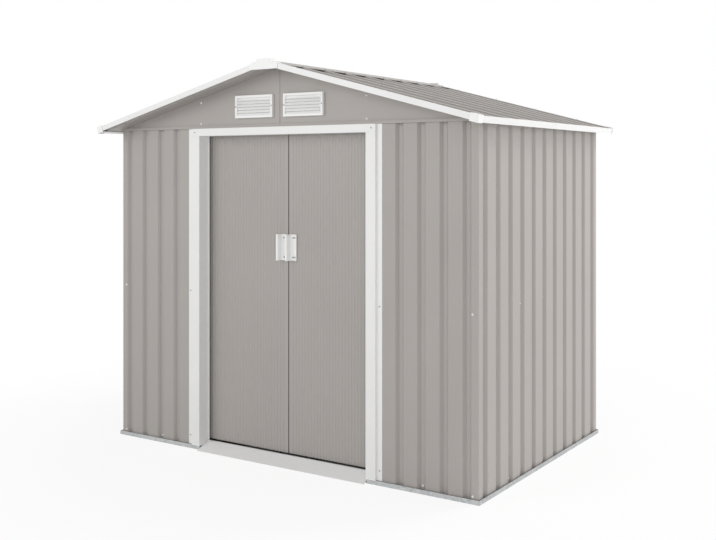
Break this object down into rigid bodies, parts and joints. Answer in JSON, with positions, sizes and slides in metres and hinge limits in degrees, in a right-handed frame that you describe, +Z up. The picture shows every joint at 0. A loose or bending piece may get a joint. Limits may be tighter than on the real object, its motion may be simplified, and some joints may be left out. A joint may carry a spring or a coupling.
{
  "type": "metal storage shed",
  "caption": "Free-standing garden shed of ribbed grey steel sheet with a low gabled roof, white trims, louvred gable vents and a pair of hanging sliding doors.",
  "frame": {"origin": "on the ground under the middle of the shed", "axes": "+X along the front to the right, -Y out of the doorway, +Z up"},
  "size_m": [2.1238, 1.3806, 1.7674],
  "materials": {
    "grey_coated_steel": "satin",
    "white_coated_steel": "satin",
    "galvanised_steel": "matt",
    "white_plastic": "satin",
    "black_plastic": "satin"
  },
  "bodies": {
    "shell": {"back_floor_rail": "galvanised_steel", "back_left_corner_sheet": "grey_coated_steel", "back_left_gable": "grey_coated_steel", "back_left_sheet": "grey_coated_steel", "back_rake_trims": "white_coated_steel", "back_right_corner_sheet": "grey_coated_steel", "back_right_gable": "grey_coated_steel", "back_right_sheet": "grey_coated_steel", "back_vents": "white_plastic", "door_header": "white_coated_steel", "door_sill": "white_coated_steel", "eave_corner_caps": "white_plastic", "front_left_corner_sheet": "grey_coated_steel", "front_left_floor_rail": "galvanised_steel", "front_left_gable": "grey_coated_steel", "front_rake_trims": "white_coated_steel", "front_right_corner_sheet": "grey_coated_steel", "front_right_floor_rail": "galvanised_steel", "front_right_gable": "grey_coated_steel", "front_vents": "white_plastic", "left_back_roof_sheet": "grey_coated_steel", "left_door_jamb": "white_coated_steel", "left_eave_trim": "white_coated_steel", "left_floor_rail": "galvanised_steel", "left_front_roof_sheet": "grey_coated_steel", "left_middle_roof_sheet": "grey_coated_steel", "left_side_sheet": "grey_coated_steel", "lower_door_track": "galvanised_steel", "mid_rails": "galvanised_steel", "ridge_beam": "galvanised_steel", "ridge_cap": "grey_coated_steel", "ridge_end_caps": "white_plastic", "right_back_roof_sheet": "grey_coated_steel", "right_door_jamb": "white_coated_steel", "right_eave_trim": "white_coated_steel", "right_floor_rail": "galvanised_steel", "right_front_roof_sheet": "grey_coated_steel", "right_middle_roof_sheet": "grey_coated_steel", "right_side_sheet": "grey_coated_steel", "roof_purlins": "galvanised_steel", "upper_door_track": "galvanised_steel", "wall_plates": "galvanised_steel"},
    "left_door": {"left_door_channels": "galvanised_steel", "left_door_handle": "white_plastic", "left_door_leaf": "grey_coated_steel", "left_door_runners": "black_plastic"},
    "right_door": {"right_door_channels": "galvanised_steel", "right_door_handle": "white_plastic", "right_door_leaf": "grey_coated_steel", "right_door_runners": "black_plastic"}
  },
  "joints": [
    {"name": "left_door_slide", "type": "slide", "parent": "shell", "child": "left_door", "axis": [-1, 0, 0], "range_m": [0, 0.41]},
    {"name": "right_door_slide", "type": "slide", "parent": "shell", "child": "right_door", "axis": [1, 0, 0], "range_m": [0, 0.41]}
  ]
}
